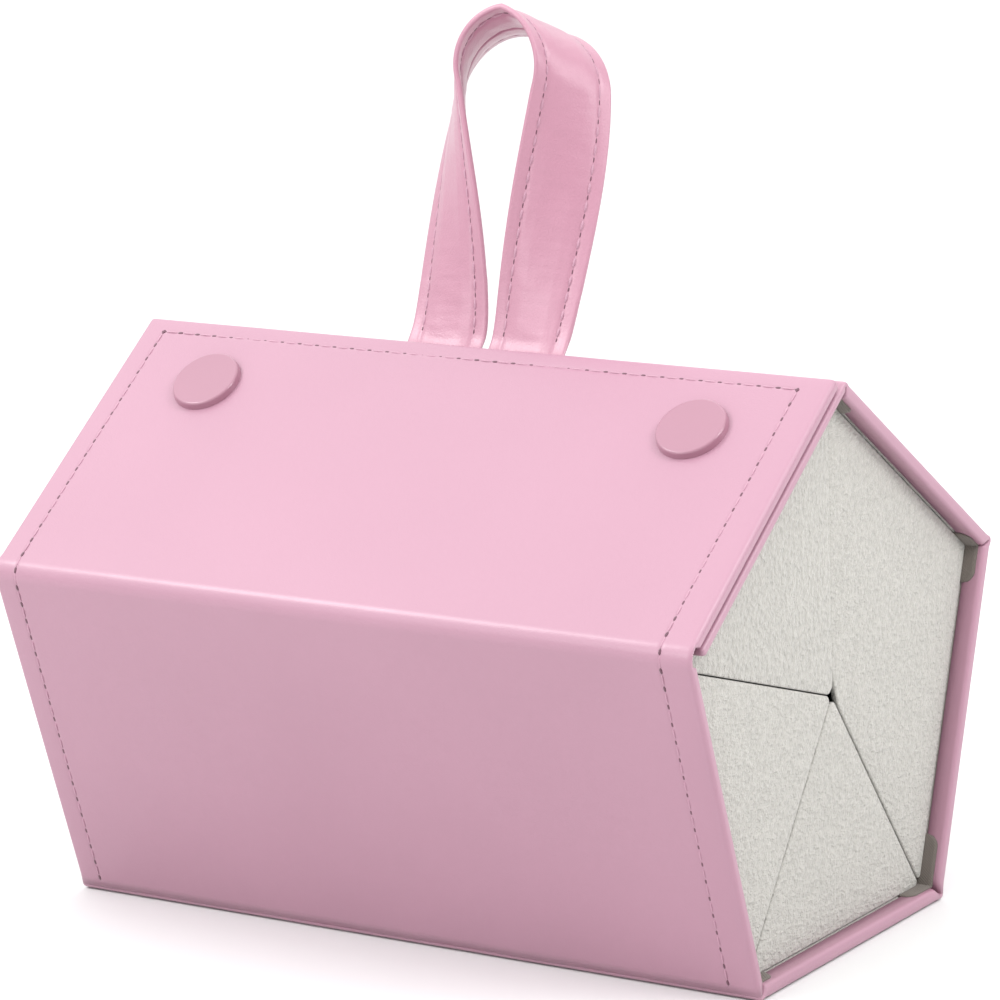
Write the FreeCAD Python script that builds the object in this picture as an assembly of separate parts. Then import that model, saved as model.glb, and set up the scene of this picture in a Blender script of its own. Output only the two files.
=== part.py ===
import FreeCAD, Part
import math
import os

# Fold-up jewelry box: a five-sided case of boards covered in leather and lined with velvet.
# X runs along the case, +Y is the back, +Z is up, and the case stands on its bottom panel.

# Driving dimensions, mm
SIDE = 76.0            # one side of the five-sided end
LENGTH = 167.0         # case, end to end
SKIN = 0.9             # leather
BOARD = 1.4            # panel board
LINING = 0.6           # velvet lining
UNDER_SKIN = 0.6       # panel under the flap is thinner
UNDER_BOARD = 0.9
UNDER_LINING = 0.5
EDGE_WALL = 0.6        # leather round a panel's long edges
TURN_IN = 4.5          # leather turned over on the inner side at each end
FOLD_R = 1.3           # round leather fold on each corner
FOLD_GAP = 0.2         # from a fold to the panel beside it
END_RECESS = 4.2       # velvet ends sit this far inside the rims
END_PLATE = 1.4        # thickness of a velvet end
WALL = 1.2             # thickness of a velvet wall
WEDGE_GAP = 0.4        # from a compartment's edge to the plane it shares
SEAM_GAP = 0.05        # the tight seam at the top partition
APEX_CUT = 1.6         # blunt points at the centre
STRIP = 0.4            # hinge lining strip, thickness
STRIP_WIDTH = 5.0      # hinge lining strip, along one panel
STRIP_INSET = 1.2      # hinge lining strip, from the rim
FLAP_LIFT = 0.6        # flap's inner face above the panel under it
FLAP_SKIN = 0.9
FLAP_BOARD = 1.2
FLAP_SHORT = 2.4       # flap's free edge stops this far before the top corner
FREE_EDGE = 5.0        # panel under the flap stops this far before the front corner
SNAP_X = 59.0          # snaps, each side of the middle
SNAP_DOWN = 17.5       # snaps, below the flap's free edge
CAP_R = 7.6
CAP_T = 2.3
CAP_BEVEL = 1.2
POST_R = 1.5
SOCKET_R = 4.5
SOCKET_HOLE_R = 2.1
SOCKET_T = 0.6
STUD_R = 1.8
STUD_T = 0.35
WASHER_R = 4.0
WASHER_T = 0.35
STRAP_WIDTH = 18.4
STRAP_T = 2.2
LEG_SPREAD = 10.0      # middle of a leg at its foot, from the middle of the handle
LOOP_R = 13.5          # bend at the top of the handle
LEG_HEIGHT = 52.2      # handle's axis to the start of the bend
HANDLE_LEAN = 13.2     # degrees, towards the back
TOP_TILT = 29.0        # degrees, the strap's front edge above its back edge at the top
BOW = 1.5              # how late the legs bow outwards
TWIST = 1.2            # how late the strap twists
PIVOT_PAST = 1.6       # handle's axis beyond the top corner
HANDLE_FOLD_R = 1.0    # round leather fold that the handle swings on
FOOT_GAP = 1.2         # strap starts this far from the handle's axis
LOFT_STEPS = 14
TAB_T = 0.4
TAB_LENGTH = 22.0
TAB_SHORT = 1.0        # tab stops this far before the top corner

# Worked out
PANEL = SKIN + BOARD + LINING
UNDER_PANEL = UNDER_SKIN + UNDER_BOARD + UNDER_LINING
FLAP_T = FLAP_SKIN + FLAP_BOARD + LINING
END_DEPTH = PANEL + STRIP + 0.1
OUT_R = SIDE / (2 * math.sin(math.radians(36)))
IN_R = OUT_R * math.cos(math.radians(36))
HALF = LENGTH / 2
HALF_STRAP = LEG_HEIGHT + LOOP_R * math.pi / 2
CENTRE = (0.0, IN_R)
CORNERS = {
    "front_bottom": 234,
    "back_bottom": 306,
    "back": 18,
    "top": 90,
    "front": 162,
}


def corner(name):
    """An outer corner of the five-sided section, as (y, z)."""
    angle = math.radians(CORNERS[name])
    return (OUT_R * math.cos(angle), IN_R + OUT_R * math.sin(angle))


def directions(start, end):
    """Unit direction from corner start to corner end, and the inward normal."""
    (ay, az), (by, bz) = corner(start), corner(end)
    along = ((by - ay) / SIDE, (bz - az) / SIDE)
    inward = (-along[1], along[0])
    middle = ((ay + by) / 2, (az + bz) / 2)
    if inward[0] * (CENTRE[0] - middle[0]) + inward[1] * (CENTRE[1] - middle[1]) < 0:
        inward = (along[1], -along[0])
    return along, inward


def on_side(start, end, u, depth):
    """The point u along a side and depth inside its outer line."""
    along, inward = directions(start, end)
    y, z = corner(start)
    return (y + along[0] * u + inward[0] * depth, z + along[1] * u + inward[1] * depth)


def crossing(side_a, depth_a, side_b, depth_b):
    """Where two sides' lines meet, each moved inwards by its depth."""
    p = on_side(*side_a, 0, depth_a)
    q = on_side(*side_b, 0, depth_b)
    d = directions(*side_a)[0]
    e = directions(*side_b)[0]
    cross = d[0] * e[1] - d[1] * e[0]
    t = ((q[0] - p[0]) * e[1] - (q[1] - p[1]) * e[0]) / cross
    return (p[0] + d[0] * t, p[1] + d[1] * t)


def clip(points, origin, normal, keep_from):
    """The part of a convex outline on the far side of a line."""
    result = []
    for i, p in enumerate(points):
        q = points[(i + 1) % len(points)]
        dp = (p[0] - origin[0]) * normal[0] + (p[1] - origin[1]) * normal[1] - keep_from
        dq = (q[0] - origin[0]) * normal[0] + (q[1] - origin[1]) * normal[1] - keep_from
        if dp >= 0:
            result.append(p)
        if dp * dq < 0:
            t = dp / (dp - dq)
            result.append((p[0] + (q[0] - p[0]) * t, p[1] + (q[1] - p[1]) * t))
    return result


def prism(points, x0, x1):
    """A solid with the outline given in Y and Z, from x0 to x1."""
    ring = [FreeCAD.Vector(x0, y, z) for y, z in points]
    face = Part.Face(Part.makePolygon(ring + ring[:1]))
    return face.extrude(FreeCAD.Vector(x1 - x0, 0, 0))


def slab(side, u, depth, x):
    """A flat plate on a side: u, depth and x are each (from, to)."""
    ring = [(u[0], depth[0]), (u[1], depth[0]), (u[1], depth[1]), (u[0], depth[1])]
    return prism([on_side(*side, a, b) for a, b in ring], x[0], x[1])


def shrink(span, by):
    return (span[0] + by, span[1] - by)


def panel(side, u, depths):
    """Leather cover, board and lining of one panel. depths are the four faces, outside first."""
    outer, board_out, board_in, inner = depths
    full = (-HALF, HALF)
    inside = shrink(u, EDGE_WALL)
    board = slab(side, inside, (board_out, board_in), shrink(full, SKIN))
    lining = slab(side, inside, (board_in, inner), shrink(full, TURN_IN))
    cover = slab(side, u, (outer, inner), full).cut(board).cut(lining)
    return cover, board, lining


def fold(axis):
    """Round leather fold along a corner."""
    start = FreeCAD.Vector(-HALF, axis[0], axis[1])
    return Part.makeCylinder(FOLD_R, LENGTH, start, FreeCAD.Vector(1, 0, 0))


def wedge(names, gaps, depth):
    """Section of a compartment: from the centre to the corners named, inside its panels."""
    points = [CENTRE] + [corner(n) for n in names]
    for start, end in zip(names, names[1:]):
        points = clip(points, corner(start), directions(start, end)[1], depth)
    for name, inner_name, gap in ((names[0], names[1], gaps[0]), (names[-1], names[-2], gaps[1])):
        points = clip(points, CENTRE, radial_normal(name, inner_name), gap)
    middle = [corner(n) for n in names]
    out = (sum(p[0] for p in middle), sum(p[1] - IN_R for p in middle))
    size = math.hypot(*out)
    return clip(points, CENTRE, (out[0] / size, out[1] / size), APEX_CUT)


def radial_normal(name, towards):
    """Normal of the plane from the centre to a corner, pointing to the next corner."""
    y, z = corner(name)
    normal = (-(z - IN_R) / OUT_R, y / OUT_R)
    ty, tz = corner(towards)
    if normal[0] * ty + normal[1] * (tz - IN_R) < 0:
        normal = (-normal[0], -normal[1])
    return normal


def end_plates(names, gaps):
    """The two velvet ends of a compartment, left and right."""
    outline = wedge(names, gaps, END_DEPTH)
    far = HALF - END_RECESS
    near = far - END_PLATE
    return prism(outline, -far, -near), prism(outline, near, far)


def wall(names, at, gaps, offset):
    """A velvet wall along the plane from the centre to corner at, inside a compartment."""
    normal = radial_normal(at, names[1] if at == names[0] else names[-2])
    outline = clip(wedge(names, gaps, END_DEPTH), CENTRE, normal, offset)
    outline = clip(outline, CENTRE, (-normal[0], -normal[1]), -(offset + WALL))
    near = HALF - END_RECESS - END_PLATE
    return prism(outline, -near, near)


def lining_strip(side, at_start):
    """One leg of a hinge lining strip, on a panel's inner face beside a corner."""
    start = FOLD_R / math.tan(math.radians(54)) + FOLD_R + FOLD_GAP
    if at_start:
        span = (start, start + STRIP_WIDTH)
    else:
        span = (SIDE - start - STRIP_WIDTH, SIDE - start)
    return slab(side, span, (PANEL, PANEL + STRIP), (-HALF + STRIP_INSET, HALF - STRIP_INSET))


def disc(side, x, u, depth, radius, thickness):
    """A round plate lying on a side; it grows outwards from the depth given."""
    y, z = on_side(*side, u, depth)
    inward = directions(*side)[1]
    out = FreeCAD.Vector(0, -inward[0], -inward[1])
    return Part.makeCylinder(radius, thickness, FreeCAD.Vector(x, y, z), out)


def cap(side, x, u, depth):
    """Snap cap: a thick disc with a sloping shoulder."""
    y, z = on_side(*side, u, depth)
    inward = directions(*side)[1]
    out = FreeCAD.Vector(0, -inward[0], -inward[1])
    base = FreeCAD.Vector(x, y, z)
    low = Part.makeCylinder(CAP_R, CAP_T - CAP_BEVEL, base, out)
    top = Part.makeCone(CAP_R, CAP_R - CAP_BEVEL, CAP_BEVEL, base + out * (CAP_T - CAP_BEVEL), out)
    return low.fuse(top).removeSplitter()


def strap_section(t):
    """Cross-section of the left half of the strap, t along it from the handle's axis.

    The leg bows outwards as a quarter sine and then follows a round bend. The strap's width
    turns from facing the front at the foot to edge-on at the top, where it also tilts back.
    """
    bend = max(0.0, t - LEG_HEIGHT) / LOOP_R
    share = min(1.0, t / LEG_HEIGHT)
    x = -(LEG_SPREAD + (LOOP_R - LEG_SPREAD) * math.sin(share ** BOW * math.pi / 2))
    if bend > 0:
        x = -LOOP_R * math.cos(bend)
    up = min(t, LEG_HEIGHT) + LOOP_R * math.sin(bend)
    lean = math.radians(HANDLE_LEAN)
    rise = FreeCAD.Vector(0, math.sin(lean), math.cos(lean))
    tilt = lean + (math.radians(TOP_TILT) - lean) * (t / HALF_STRAP) ** 2
    front = FreeCAD.Vector(0, -math.cos(tilt), math.sin(tilt))
    sideways = FreeCAD.Vector(1, 0, 0)
    along = sideways * math.sin(bend) + rise * math.cos(bend)
    twist = math.pi / 2 * (t / HALF_STRAP) ** TWIST
    level = along.cross(front)
    level.normalize()
    width = level * math.cos(twist) + front * math.sin(twist)
    width = width - along * width.dot(along)
    width.normalize()
    w = width * (STRAP_WIDTH / 2)
    f = along.cross(width) * (STRAP_T / 2)
    middle = FreeCAD.Vector(x, HANDLE_FOOT[0], HANDLE_FOOT[1]) + rise * up
    ring = [middle - w - f, middle + w - f, middle + w + f, middle - w + f]
    return Part.makePolygon(ring + ring[:1])


SIDES = {
    "bottom": ("front_bottom", "back_bottom"),
    "back_lower": ("back_bottom", "back"),
    "back_upper": ("back", "top"),
    "front_upper": ("front", "top"),
    "front_lower": ("front_bottom", "front"),
}
CLOSED = (0, SKIN, SKIN + BOARD, PANEL)
UNDER = (0, UNDER_SKIN, UNDER_SKIN + UNDER_BOARD, UNDER_PANEL)
EDGE = FOLD_R / math.tan(math.radians(54)) + FOLD_R + FOLD_GAP
FLAP_OUT = -FLAP_LIFT - FLAP_T
FLAP_AXIS = crossing(SIDES["front_lower"], FOLD_R, SIDES["front_upper"], FLAP_OUT + FOLD_R)


def along_side(side, point):
    along = directions(*side)[0]
    y, z = corner(side[0])
    return (point[0] - y) * along[0] + (point[1] - z) * along[1]


FLAP_START = along_side(SIDES["front_upper"], FLAP_AXIS) + FOLD_R + FOLD_GAP
FRONT_END = along_side(SIDES["front_lower"], FLAP_AXIS) - FOLD_R - FOLD_GAP
SNAP_U = SIDE - FLAP_SHORT - SNAP_DOWN
FOLDS = {
    "fold_front_bottom": crossing(SIDES["bottom"], FOLD_R, SIDES["front_lower"], FOLD_R),
    "fold_back_bottom": crossing(SIDES["bottom"], FOLD_R, SIDES["back_lower"], FOLD_R),
    "fold_back": crossing(SIDES["back_lower"], FOLD_R, SIDES["back_upper"], FOLD_R),
    "fold_top": crossing(SIDES["back_upper"], FOLD_R, SIDES["front_upper"], FOLD_R),
    "fold_flap": FLAP_AXIS,
}
MIDDLE_Y = (FOLDS["fold_back"][0] + FLAP_AXIS[0]) / 2
HANDLE_FOOT = on_side(*SIDES["front_upper"], SIDE + PIVOT_PAST, -TAB_T)


def make_panels():
    """Cover, board and lining of the five panels."""
    spans = {
        "bottom": (EDGE, SIDE - EDGE),
        "back_lower": (EDGE, SIDE - EDGE),
        "back_upper": (EDGE, SIDE - EDGE),
        "front_upper": (FREE_EDGE, SIDE - EDGE),
        "front_lower": (EDGE, FRONT_END),
    }
    nodes = {}
    for name, span in spans.items():
        layers = UNDER if name == "front_upper" else CLOSED
        cover, board, lining = panel(SIDES[name], span, layers)
        nodes[name + "_cover"] = cover
        nodes[name + "_board"] = board
        nodes[name + "_lining"] = lining
    return nodes


def make_compartments():
    """Velvet ends and walls of the four compartments."""
    loose = (WEDGE_GAP, WEDGE_GAP)
    kinds = {
        "bottom": (("front_bottom", "back_bottom"), loose),
        "front": (("front_bottom", "front"), loose),
        "top": (("front", "top"), (WEDGE_GAP, SEAM_GAP)),
        "back": (("top", "back", "back_bottom"), (SEAM_GAP, WEDGE_GAP)),
    }
    nodes = {}
    for name, (names, gaps) in kinds.items():
        left, right = end_plates(names, gaps)
        nodes[name + "_end_left"] = left
        nodes[name + "_end_right"] = right
    names, gaps = kinds["bottom"]
    nodes["bottom_wall"] = wall(names, "back_bottom", gaps, WEDGE_GAP)
    names, gaps = kinds["front"]
    nodes["front_wall"] = wall(names, "front", gaps, WEDGE_GAP)
    names, gaps = kinds["top"]
    nodes["top_wall"] = wall(names, "top", gaps, SEAM_GAP)
    return nodes


def make_strips():
    """Hinge lining strips on the inner side of four corners."""
    back = lining_strip(SIDES["back_lower"], False).fuse(lining_strip(SIDES["back_upper"], True))
    return {
        "strip_front_bottom": lining_strip(SIDES["bottom"], True),
        "strip_back_bottom": lining_strip(SIDES["bottom"], False),
        "strip_back": Part.makeCompound(back.Solids),
        "strip_top": lining_strip(SIDES["back_upper"], False),
    }


def make_flap():
    """Flap: cover, board and inner leather, with the snap parts that pass through it."""
    side = SIDES["front_upper"]
    depths = (FLAP_OUT, FLAP_OUT + FLAP_SKIN, FLAP_OUT + FLAP_SKIN + FLAP_BOARD, -FLAP_LIFT)
    cover, board, lining = panel(side, (FLAP_START, SIDE - FLAP_SHORT), depths)
    caps, posts, sockets = [], [], []
    for x in (-SNAP_X, SNAP_X):
        caps.append(cap(side, x, SNAP_U, FLAP_OUT))
        posts.append(disc(side, x, SNAP_U, -FLAP_LIFT, POST_R, FLAP_T))
        ring = disc(side, x, SNAP_U, -FLAP_LIFT + SOCKET_T, SOCKET_R, SOCKET_T)
        hole = disc(side, x, SNAP_U, -FLAP_LIFT + SOCKET_T, SOCKET_HOLE_R, SOCKET_T)
        sockets.append(ring.cut(hole))
    for post in posts:
        cover = cover.cut(post)
        board = board.cut(post)
        lining = lining.cut(post)
    return {
        "flap_cover": cover,
        "flap_board": board,
        "flap_lining": lining,
        "snap_caps": Part.makeCompound(caps),
        "snap_posts": Part.makeCompound(posts),
        "snap_sockets": Part.makeCompound(sockets),
    }


def make_studs():
    """Snap studs on the panel under the flap, and the washers behind them."""
    side = SIDES["front_upper"]
    studs, washers = [], []
    for x in (-SNAP_X, SNAP_X):
        studs.append(disc(side, x, SNAP_U, 0, STUD_R, STUD_T))
        washers.append(disc(side, x, SNAP_U, UNDER_PANEL + WASHER_T, WASHER_R, WASHER_T))
    return {"snap_studs": Part.makeCompound(studs), "snap_washers": Part.makeCompound(washers)}


def make_handle():
    """Handle loop in two halves, the fold it swings on, and the tabs that hold it."""
    steps = [FOOT_GAP + (HALF_STRAP - FOOT_GAP) * i / LOFT_STEPS for i in range(LOFT_STEPS + 1)]
    left = Part.makeLoft([strap_section(t) for t in steps], True, True)
    right = left.mirror(FreeCAD.Vector(0, 0, 0), FreeCAD.Vector(1, 0, 0))
    tabs = []
    for x in (-LEG_SPREAD, LEG_SPREAD):
        span = (x - STRAP_WIDTH / 2, x + STRAP_WIDTH / 2)
        reach = (SIDE - TAB_LENGTH, SIDE - TAB_SHORT)
        tabs.append(slab(SIDES["front_upper"], reach, (-TAB_T, 0), span))
    reach = LEG_SPREAD + STRAP_WIDTH / 2
    start = FreeCAD.Vector(-reach, HANDLE_FOOT[0], HANDLE_FOOT[1])
    return {
        "handle_left": left,
        "handle_right": right,
        "handle_fold": Part.makeCylinder(HANDLE_FOLD_R, 2 * reach, start, FreeCAD.Vector(1, 0, 0)),
        "handle_tabs": Part.makeCompound(tabs),
    }


def main():
    os.makedirs("parts", exist_ok=True)
    nodes = {name: fold(axis) for name, axis in FOLDS.items()}
    for make in (make_panels, make_compartments, make_strips, make_flap, make_studs, make_handle):
        nodes.update(make())
    for name, shape in nodes.items():
        shape.translate(FreeCAD.Vector(0, -MIDDLE_Y, 0))
        shape.exportStep("parts/" + name + ".step")
    box = Part.makeCompound(list(nodes.values())).BoundBox
    print(len(nodes), "nodes", box)
    for name, axis in list(FOLDS.items()) + [("handle", HANDLE_FOOT)]:
        print(name, "axis", round(axis[0] - MIDDLE_Y, 4), round(axis[1], 4))


main()
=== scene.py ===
import math

import bmesh
import bpy
import numpy as np
from mathutils import Matrix, Vector


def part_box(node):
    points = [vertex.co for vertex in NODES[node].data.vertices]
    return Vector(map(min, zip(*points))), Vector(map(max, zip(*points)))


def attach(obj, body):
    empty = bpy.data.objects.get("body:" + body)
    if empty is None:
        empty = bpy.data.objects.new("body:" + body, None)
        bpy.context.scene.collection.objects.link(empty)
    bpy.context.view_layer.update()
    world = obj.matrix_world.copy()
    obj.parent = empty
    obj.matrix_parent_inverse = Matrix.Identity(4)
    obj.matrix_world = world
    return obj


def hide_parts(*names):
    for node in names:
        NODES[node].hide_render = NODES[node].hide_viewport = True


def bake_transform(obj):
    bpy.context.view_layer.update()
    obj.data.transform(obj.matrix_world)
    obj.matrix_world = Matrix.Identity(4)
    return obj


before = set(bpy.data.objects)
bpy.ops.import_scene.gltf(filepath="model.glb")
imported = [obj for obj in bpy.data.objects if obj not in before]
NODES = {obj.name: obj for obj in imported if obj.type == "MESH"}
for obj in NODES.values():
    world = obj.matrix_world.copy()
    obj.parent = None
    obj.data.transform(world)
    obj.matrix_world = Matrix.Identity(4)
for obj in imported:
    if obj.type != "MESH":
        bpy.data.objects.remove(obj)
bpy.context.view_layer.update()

MM = 0.001

# Sizes of the leather work, in metres
PANEL = 2.9 * MM          # leather, board and lining of a panel
FLAP = 2.7 * MM           # the stack of the flap
UNDER = 2.0 * MM          # the thinner panel under the flap
FRONT_PANEL = 2.35 * MM   # rims of the front panel
SOFT_BEND = 4.2 * MM      # the soft bend between the front panel and the flap
FOLD_T = 1.15 * MM        # leather and lining alone, where a corner folds
EDGE_R = 0.95 * MM        # rolled edges
TURN_IN = 4.5 * MM        # leather turned over the ends of a panel
RECESS = 0.76             # the velvet lining's depth, as a share of the panel
MITRE = 1 / math.tan(math.radians(36))
FREE_EDGE = 1.0 * MM      # solid leather at the flap's free edge
STITCH_PITCH = 4.4 * MM
STITCH_HOLE = 1.4 * MM
STITCH_LEFT = 5.4 * MM
STITCH_RIGHT = 6.9 * MM
STITCH_TOP = 4.0 * MM
CAP_R = 7.6 * MM
STRAP_W = 18.4 * MM
STRAP_SEAM = 2.9 * MM     # stitching, from the strap's edge
SIDE_PITCH = 4.05 * MM    # stitches down the two sides
STRAP_PITCH = 3.8 * MM
PUFF = 0.28 * MM          # how proud a panel stands in its middle
PUFF_REACH = 14 * MM      # length over which it rises from a fold or an end
UNEVEN = 0.035 * MM       # slight waves in a panel
GROOVE = 0.10 * MM        # how deep the stitching pulls the leather in
GROOVE_HALF = 0.42 * MM   # and how far to each side


# ---------------------------------------------------------------- where things are


def middle_of(node):
    """The middle of a node's section, as (y, z)."""
    low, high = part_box(node)
    return np.array([(low[1] + high[1]) / 2, (low[2] + high[2]) / 2])


FOLDS = {n: middle_of("fold_" + n) for n in ("front_bottom", "back_bottom", "back", "top", "flap")}
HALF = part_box("bottom_cover")[1][0]
FOLD_R = (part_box("fold_back")[1][2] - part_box("fold_back")[0][2]) / 2
UP_FRONT = np.array([math.cos(math.radians(36)), math.sin(math.radians(36))])
OUT_FRONT = np.array([-UP_FRONT[1], UP_FRONT[0]])
HANDLE_AXIS = middle_of("handle_fold")
HANDLE_X = sum(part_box("handle_fold")[i][0] for i in (0, 1)) / 2


def unit(v):
    v = np.asarray(v, float)
    return v / np.linalg.norm(v, axis=-1, keepdims=True)


class Route:
    """A leather sheet's outer line in Y and Z: straight runs, and an arc round each fold axis.

    The points given are fold axes, or ends at the same depth; the line runs FOLD_R outside them.
    """

    def __init__(self, points, radii=None):
        points = [np.asarray(p, float) for p in points]
        radii = radii or [FOLD_R] * len(points)
        turns = [math.atan2(*(b - a)[::-1]) for a, b in zip(points, points[1:])]
        s, place, angle = [0.0], [], []
        self.folds = []
        cut_before = 0.0
        for i, heading in enumerate(turns):
            run = np.array([math.cos(heading), math.sin(heading)])
            normal = np.array([-run[1], run[0]])
            turn = cut = 0.0
            if i + 1 < len(turns):
                turn = (heading - turns[i + 1] + math.pi) % (2 * math.pi) - math.pi
                cut = (radii[i + 1] - FOLD_R) * math.tan(turn / 2)
            start = points[i] + run * cut_before + FOLD_R * normal
            end = points[i + 1] - run * cut + FOLD_R * normal
            place += [start, end]
            angle += [heading, heading]
            s.append(s[-1] + float(np.linalg.norm(end - start)))
            if i + 1 < len(turns):
                radius = radii[i + 1]
                centre = end - radius * normal
                theta = heading - turn * np.linspace(0, 1, 25)[1:]
                start_s = s[-1]
                s += list(start_s + radius * turn * np.linspace(0, 1, 25)[1:])
                place += [centre + radius * np.array([-math.sin(a), math.cos(a)]) for a in theta]
                angle += list(theta)
                self.folds.append((start_s, s[-1]))
                s.append(s[-1])
                turns[i + 1] = theta[-1]
            cut_before = cut
        place, angle = np.array(place), np.array(angle)
        s = np.array(s[:len(place)])
        keep = np.concatenate([[True], np.diff(s) > 1e-9])
        self.s, self.place, self.angle = s[keep], place[keep], angle[keep]
        self.length = self.s[-1]

    def at(self, s):
        """Places on the outer line, and outward normals, at lengths s along it."""
        place = np.stack([np.interp(s, self.s, self.place[:, k]) for k in (0, 1)], -1)
        a = np.interp(s, self.s, self.angle)
        return place, np.stack([-np.sin(a), np.cos(a)], -1)

    def stations(self, coarse, fine_at=(), round_start=False, round_end=False):
        """Lengths along the line: even, and closer at folds, fine places and rolled ends."""
        marks = [np.linspace(0, self.length, int(self.length / coarse) + 2)]
        for start, end in self.folds:
            marks.append(np.arange(start - 2.2 * MM, end + 2.2 * MM, 0.16 * MM))
        for place in fine_at:
            marks.append(place + np.linspace(-1, 1, 13) * MM)
        rolled = EDGE_R * (1 - np.cos(np.linspace(0.06, 1, 8) * math.pi / 2))
        if round_start:
            marks.append(rolled)
        if round_end:
            marks.append(self.length - rolled)
        joined = np.unique(np.clip(np.concatenate(marks), 0, self.length))
        keep = np.concatenate([[True], np.diff(joined) > 0.02 * MM])
        joined = joined[keep]
        joined[-1] = self.length
        return joined


# ---------------------------------------------------------------- meshes


def mesh_piece(name, points, faces, material, smooth=True):
    """A piece from points and faces, with its normals made to agree and face outwards."""
    mesh = bpy.data.meshes.new(name)
    mesh.from_pydata(np.asarray(points, float).reshape(-1, 3).tolist(), [], faces)
    mesh.update()
    work = bmesh.new()
    work.from_mesh(mesh)
    bmesh.ops.remove_doubles(work, verts=work.verts, dist=0.002 * MM)
    bmesh.ops.recalc_face_normals(work, faces=work.faces)
    work.to_mesh(mesh)
    work.free()
    mesh.polygons.foreach_set("use_smooth", [smooth] * len(mesh.polygons))
    piece = bpy.data.objects.new(name, mesh)
    bpy.context.scene.collection.objects.link(piece)
    piece.data.materials.append(material)
    return piece


def grid_faces(rows, columns, closed, first=0):
    """Quads of a grid of points; closed joins the last column to the first."""
    r = np.arange(rows - 1)[:, None]
    c = np.arange(columns if closed else columns - 1)[None, :]
    n = (c + 1) % columns
    quads = np.stack(np.broadcast_arrays(r * columns + c, r * columns + n,
                                         (r + 1) * columns + n, (r + 1) * columns + c), -1)
    return (quads.reshape(-1, 4) + first).tolist()


def capped_tube(name, grid, material):
    """A closed piece from a grid of rings, with a flat face over each end."""
    rows, columns = grid.shape[:2]
    faces = grid_faces(rows, columns, True)
    faces.append(list(range(columns)))
    faces.append(list(range((rows - 1) * columns, rows * columns)))
    return mesh_piece(name, grid, faces, material)


def ripple(a, b, seed, length, count=9):
    """A gentle unevenness between -1 and 1: waves of about one length, in random directions."""
    random = np.random.default_rng(seed)
    total = np.zeros(np.broadcast(a, b).shape)
    for _ in range(count):
        turn, phase, size = random.uniform(0, 2 * math.pi, 2).tolist() + [random.uniform(0.6, 1.7)]
        along = a * math.cos(turn) + b * math.sin(turn)
        total = total + np.sin(along * 2 * math.pi * size / length + phase)
    return total / count ** 0.5 / 1.5


def rim_ring(half):
    """Section across a panel: X, the share of its depth (0 outside, 1 inside), a lining flag.

    The outer face, a rounded end, the turned-in leather, a step down to the lining, and back.
    """
    flat = half - EDGE_R
    lines = [-half + STITCH_LEFT, half - STITCH_RIGHT]
    marks = [np.linspace(-flat, flat, 64)] + [x + np.linspace(-1, 1, 13) * MM for x in lines]
    outer = np.unique(np.round(np.concatenate(marks), 7))
    turn = np.linspace(0, math.pi / 2, 7)[1:]
    share = EDGE_R / PANEL
    corner_x = flat + EDGE_R * np.sin(turn)
    corner_d = share * (1 - np.cos(turn))
    back_x = flat + EDGE_R * np.cos(turn)
    back_d = 1 - share * (1 - np.sin(turn))
    inner = half - TURN_IN
    x = np.concatenate([outer, corner_x, back_x, [inner + 0.5 * MM, inner, -inner, -inner - 0.5 * MM],
                        -back_x[::-1], -corner_x[::-1]])
    d = np.concatenate([0 * outer, corner_d, back_d, [1, RECESS, RECESS, 1], back_d[::-1], corner_d[::-1]])
    lining = np.isclose(d, RECESS) & (np.abs(x) <= inner + 1e-9)
    return x, d, lining


def thickness_along(route, s, full):
    """Depth of the shell: full on a panel, cut on the mitre towards each fold."""
    result = np.array(full, float) * np.ones_like(s)
    for start, end in route.folds:
        away = np.maximum(np.maximum(start - s, s - end), 0)
        result = np.minimum(result, FOLD_T + MITRE * np.maximum(away - 0.05 * MM, 0))
    return result


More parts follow.
